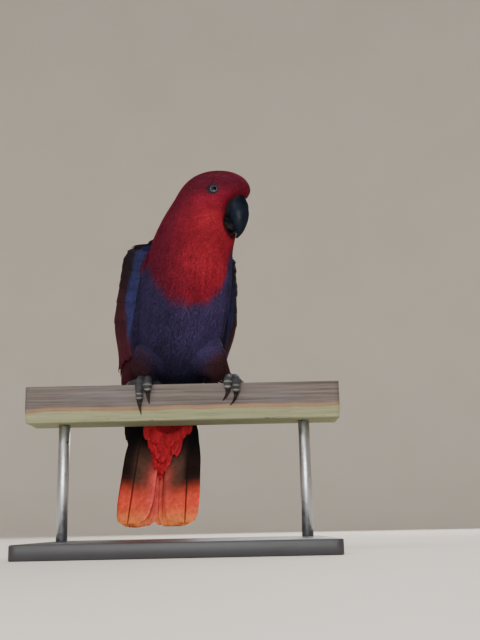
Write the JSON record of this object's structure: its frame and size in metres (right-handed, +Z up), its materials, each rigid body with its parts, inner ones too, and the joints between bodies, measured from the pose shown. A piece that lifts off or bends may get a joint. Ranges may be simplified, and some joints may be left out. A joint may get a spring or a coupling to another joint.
{
  "type": "female eclectus parrot model on a perch with a display stand",
  "caption": "Life-size still model of a red and violet eclectus parrot, perched upright on a short wooden rail that two rods hold above a flat base.",
  "frame": {"origin": "middle of the flat underside of the display base, on the surface the model stands on", "axes": "+Z up, +X along the rail to the viewer's right, -Y towards the viewer, whom the bird's breast faces"},
  "size_m": [0.27, 0.2, 0.3296],
  "materials": {
    "red_feathers": "soft contour feathers, crimson on the head and breast",
    "body_feathers": "soft contour feathers, blue violet on the belly under a crimson bib",
    "thigh_feathers": "soft feathers, dark red brown",
    "wing_feathers": "flight and covert feathers, dark maroon with blue leading edges",
    "tail_feathers": "tail feathers, dark brown at the root, red to orange at the tips",
    "foot_skin": "grey scaled skin",
    "horn": "smooth black horn",
    "eye": "wet eye with a pale grey iris and a dark pupil",
    "steel": "plain steel",
    "rail_wood": "weathered treated timber, grey brown with a pale green underside",
    "stand_base": "plain dark matt display base"
  },
  "bodies": {
    "root": {"head": "red_feathers", "bill_upper": "horn", "bill_lower": "horn", "eye_right": "eye", "eye_left": "eye", "neck": "red_feathers", "torso": "body_feathers", "tail": "tail_feathers", "wing_right": "wing_feathers", "thigh_right": "thigh_feathers", "foot_right": "foot_skin", "claw_right_1": "horn", "claw_right_2": "horn", "claw_right_3": "horn", "claw_right_4": "horn", "wing_left": "wing_feathers", "thigh_left": "thigh_feathers", "foot_left": "foot_skin", "claw_left_1": "horn", "claw_left_2": "horn", "claw_left_3": "horn", "claw_left_4": "horn", "leg_ring": "steel", "perch_rail": "rail_wood", "stand_base": "stand_base", "stand_rod_right": "steel", "stand_rod_left": "steel"}
  },
  "joints": []
}
